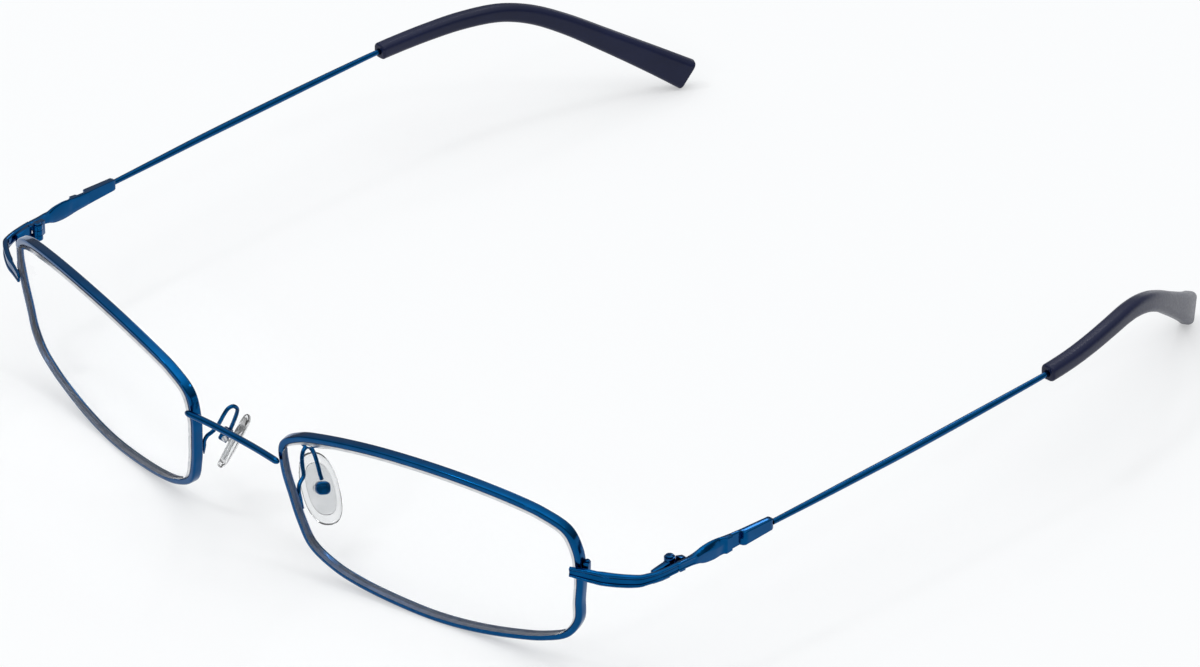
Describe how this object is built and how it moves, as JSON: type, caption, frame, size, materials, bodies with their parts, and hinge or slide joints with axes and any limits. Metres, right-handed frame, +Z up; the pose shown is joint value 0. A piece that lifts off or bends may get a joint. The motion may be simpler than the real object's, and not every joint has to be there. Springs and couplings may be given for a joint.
{
  "type": "full_rim_eyeglasses",
  "caption": "Full-rim metal eyeglasses standing open: blue wire rims and bridge, clear lenses, silicone nose pads, leaf-shaped temple fronts, slim wire temples and dark navy tips.",
  "frame": {"origin": "middle of the bottom of the bounding box, on the table the glasses stand on, midway between the fronts of the rims and the ends of the temple tips", "axes": "+X the wearer's left, -Y the way the wearer looks, +Z up"},
  "size_m": [0.1412, 0.147, 0.0277],
  "materials": {
    "blue_metal": "satin-gloss metallic blue plating over thin nickel-silver wire and sheet",
    "lens_clear": "polished clear plastic lens with a faint anti-reflection tint",
    "silicone_clear": "soft clear silicone over a stiff clear insert, softly glossy",
    "tip_navy": "dark navy acetate sleeve, satin with a soft grey sheen at grazing angles",
    "screw_steel": "small turned steel screws"
  },
  "bodies": {
    "front": {"bridge": "blue_metal", "rim_left": "blue_metal", "lens_left": "lens_clear", "endpiece_left": "blue_metal", "rim_lock_lower_left": "blue_metal", "rim_lock_upper_left": "blue_metal", "rim_lock_screw_left": "blue_metal", "hinge_front_leaf_left": "blue_metal", "hinge_screw_left": "blue_metal", "pad_arm_left": "blue_metal", "pad_box_left": "blue_metal", "pad_screw_left": "screw_steel", "rim_right": "blue_metal", "lens_right": "lens_clear", "endpiece_right": "blue_metal", "rim_lock_lower_right": "blue_metal", "rim_lock_upper_right": "blue_metal", "rim_lock_screw_right": "blue_metal", "hinge_front_leaf_right": "blue_metal", "hinge_screw_right": "blue_metal", "pad_arm_right": "blue_metal", "pad_box_right": "blue_metal", "pad_screw_right": "screw_steel"},
    "temple_left": {"hinge_temple_leaf_left": "blue_metal", "temple_plate_left": "blue_metal", "temple_wire_left": "blue_metal", "temple_tip_left": "tip_navy"},
    "temple_right": {"hinge_temple_leaf_right": "blue_metal", "temple_plate_right": "blue_metal", "temple_wire_right": "blue_metal", "temple_tip_right": "tip_navy"},
    "pad_left": {"nose_pad_left": "silicone_clear", "pad_core_left": "silicone_clear"},
    "pad_right": {"nose_pad_right": "silicone_clear", "pad_core_right": "silicone_clear"}
  },
  "joints": [
    {"name": "temple_left_fold", "type": "hinge", "parent": "front", "child": "temple_left", "pos_m": [0.0657, -0.052, 0.01722], "axis": [0, 0, 1], "range_deg": [0, 86]},
    {"name": "temple_right_fold", "type": "hinge", "parent": "front", "child": "temple_right", "pos_m": [-0.0657, -0.052, 0.01722], "axis": [0, 0, -1], "range_deg": [0, 80]},
    {"name": "nose_pad_left_rock", "type": "hinge", "parent": "front", "child": "pad_left", "pos_m": [0.01004, -0.06503, 0.01116], "axis": [-0.5135, -0.8548, 0.0751], "range_deg": [-8, 8]},
    {"name": "nose_pad_right_rock", "type": "hinge", "parent": "front", "child": "pad_right", "pos_m": [-0.01004, -0.06503, 0.01116], "axis": [-0.5135, 0.8548, -0.0751], "range_deg": [-8, 8]}
  ]
}
